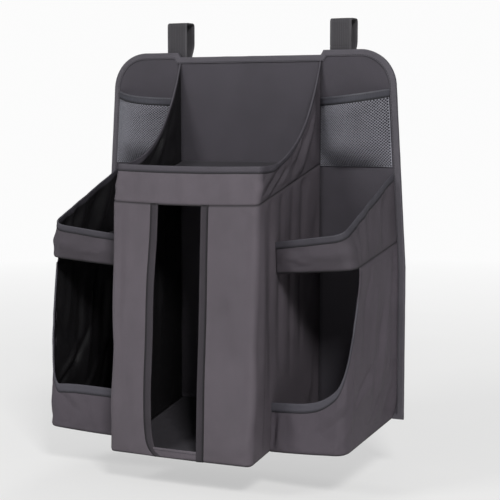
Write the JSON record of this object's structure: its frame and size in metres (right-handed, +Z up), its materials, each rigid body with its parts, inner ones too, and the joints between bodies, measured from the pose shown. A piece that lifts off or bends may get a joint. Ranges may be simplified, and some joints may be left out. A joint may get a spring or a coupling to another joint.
{
  "type": "hanging nursery organizer",
  "caption": "Hanging cloth organizer: stiff back panel on strap loops, open tray over a slotted stacker, side trays over open cubbies, net pockets.",
  "frame": {"origin": "on the centre plane between the panel's side edges, on the line that the undersides of both strap loops bear on, midway between the front and the rear run of the loops", "axes": "+X to the right as seen from the front, the front faces -Y, +Z up"},
  "size_m": [0.5022, 0.2615, 0.6198],
  "materials": {
    "front_cloth": "smooth padded polyester, soft sheen",
    "side_cloth": "smooth polyester, soft sheen",
    "hem_cloth": "folded polyester hem, fine stitching",
    "cover_cloth": "smooth polyester",
    "covered_board": "fibreboard covered with polyester cloth",
    "fibreboard": "bare fibreboard",
    "netting": "knitted net",
    "webbing": "plain woven webbing",
    "hook_and_loop": "matt hook and loop tape"
  },
  "bodies": {
    "organizer": {"back_panel_front_cover": "cover_cloth", "back_panel_rear_cover": "cover_cloth", "back_board_left": "fibreboard", "back_board_middle": "fibreboard", "back_board_right": "fibreboard", "back_panel_binding": "hem_cloth", "wipe_tray_front": "front_cloth", "wipe_tray_left_gusset": "side_cloth", "wipe_tray_right_gusset": "side_cloth", "wipe_tray_rim": "hem_cloth", "wipe_tray_floor": "side_cloth", "stacker_front_left": "front_cloth", "stacker_slot_binding_left": "hem_cloth", "stacker_side_left": "side_cloth", "stacker_front_right": "front_cloth", "stacker_slot_binding_right": "hem_cloth", "stacker_side_right": "side_cloth", "stacker_lip": "front_cloth", "stacker_floor": "side_cloth", "strap_left_sewn_end": "webbing", "panel_left_loop_patch": "hook_and_loop", "side_tray_left_front": "front_cloth", "side_tray_left_outer_wall": "side_cloth", "side_tray_left_rim": "hem_cloth", "side_tray_left_floor": "side_cloth", "cubby_left_lip": "front_cloth", "cubby_left_lip_hem": "hem_cloth", "cubby_left_outer_wall": "side_cloth", "cubby_left_floor": "side_cloth", "net_pocket_left_net": "netting", "net_pocket_left_band": "hem_cloth", "strap_right_sewn_end": "webbing", "panel_right_loop_patch": "hook_and_loop", "side_tray_right_front": "front_cloth", "side_tray_right_outer_wall": "side_cloth", "side_tray_right_rim": "hem_cloth", "side_tray_right_floor": "side_cloth", "cubby_right_lip": "front_cloth", "cubby_right_lip_hem": "hem_cloth", "cubby_right_outer_wall": "side_cloth", "cubby_right_floor": "side_cloth", "net_pocket_right_net": "netting", "net_pocket_right_band": "hem_cloth"},
    "strap_left": {"strap_left_loop": "webbing"},
    "strap_left_end": {"strap_left_tail": "webbing", "strap_left_hook_patch": "hook_and_loop"},
    "strap_right": {"strap_right_loop": "webbing"},
    "strap_right_end": {"strap_right_tail": "webbing", "strap_right_hook_patch": "hook_and_loop"},
    "cubby_left_board": {"cubby_left_base_board": "covered_board"},
    "cubby_right_board": {"cubby_right_base_board": "covered_board"},
    "side_tray_left_board": {"side_tray_left_base_board": "covered_board"},
    "side_tray_right_board": {"side_tray_right_base_board": "covered_board"},
    "stacker_board": {"stacker_base_board": "covered_board"},
    "wipe_tray_board": {"wipe_tray_base_board": "covered_board"}
  },
  "joints": [
    {"name": "strap_left_fold", "type": "hinge", "parent": "organizer", "child": "strap_left", "pos_m": [-0.126, -0.0133, -0.043], "axis": [1, 0, 0], "range_deg": [0, 90]},
    {"name": "strap_left_peel", "type": "hinge", "parent": "strap_left", "child": "strap_left_end", "pos_m": [-0.126, -0.009, -0.079], "axis": [1, 0, 0], "range_deg": [0, 120]},
    {"name": "strap_right_fold", "type": "hinge", "parent": "organizer", "child": "strap_right", "pos_m": [0.146, -0.0133, -0.043], "axis": [1, 0, 0], "range_deg": [0, 90]},
    {"name": "strap_right_peel", "type": "hinge", "parent": "strap_right", "child": "strap_right_end", "pos_m": [0.146, -0.009, -0.079], "axis": [1, 0, 0], "range_deg": [0, 120]},
    {"name": "cubby_left_board_lift", "type": "hinge", "parent": "organizer", "child": "cubby_left_board", "pos_m": [-0.17268, -0.18936, -0.59926], "axis": [0.9928, 0.1192, 0.0136], "range_deg": [0, 20]},
    {"name": "cubby_right_board_lift", "type": "hinge", "parent": "organizer", "child": "cubby_right_board", "pos_m": [0.16677, -0.18927, -0.59557], "axis": [0.9914, -0.1307, -0.0121], "range_deg": [0, 20]},
    {"name": "side_tray_left_board_lift", "type": "hinge", "parent": "organizer", "child": "side_tray_left_board", "pos_m": [-0.17395, -0.17342, -0.35369], "axis": [0.9812, 0.1707, -0.0901], "range_deg": [0, 20]},
    {"name": "side_tray_right_board_lift", "type": "hinge", "parent": "organizer", "child": "side_tray_right_board", "pos_m": [0.17101, -0.17335, -0.35084], "axis": [0.9794, -0.1784, 0.0942], "range_deg": [0, 20]},
    {"name": "stacker_board_lift", "type": "hinge", "parent": "organizer", "child": "stacker_board", "pos_m": [0, -0.2396, -0.61506], "axis": [1, 0, 0], "range_deg": [0, 40]},
    {"name": "wipe_tray_board_lift", "type": "hinge", "parent": "organizer", "child": "wipe_tray_board", "pos_m": [0, -0.2216, -0.25867], "axis": [1, 0, 0], "range_deg": [0, 40]}
  ]
}
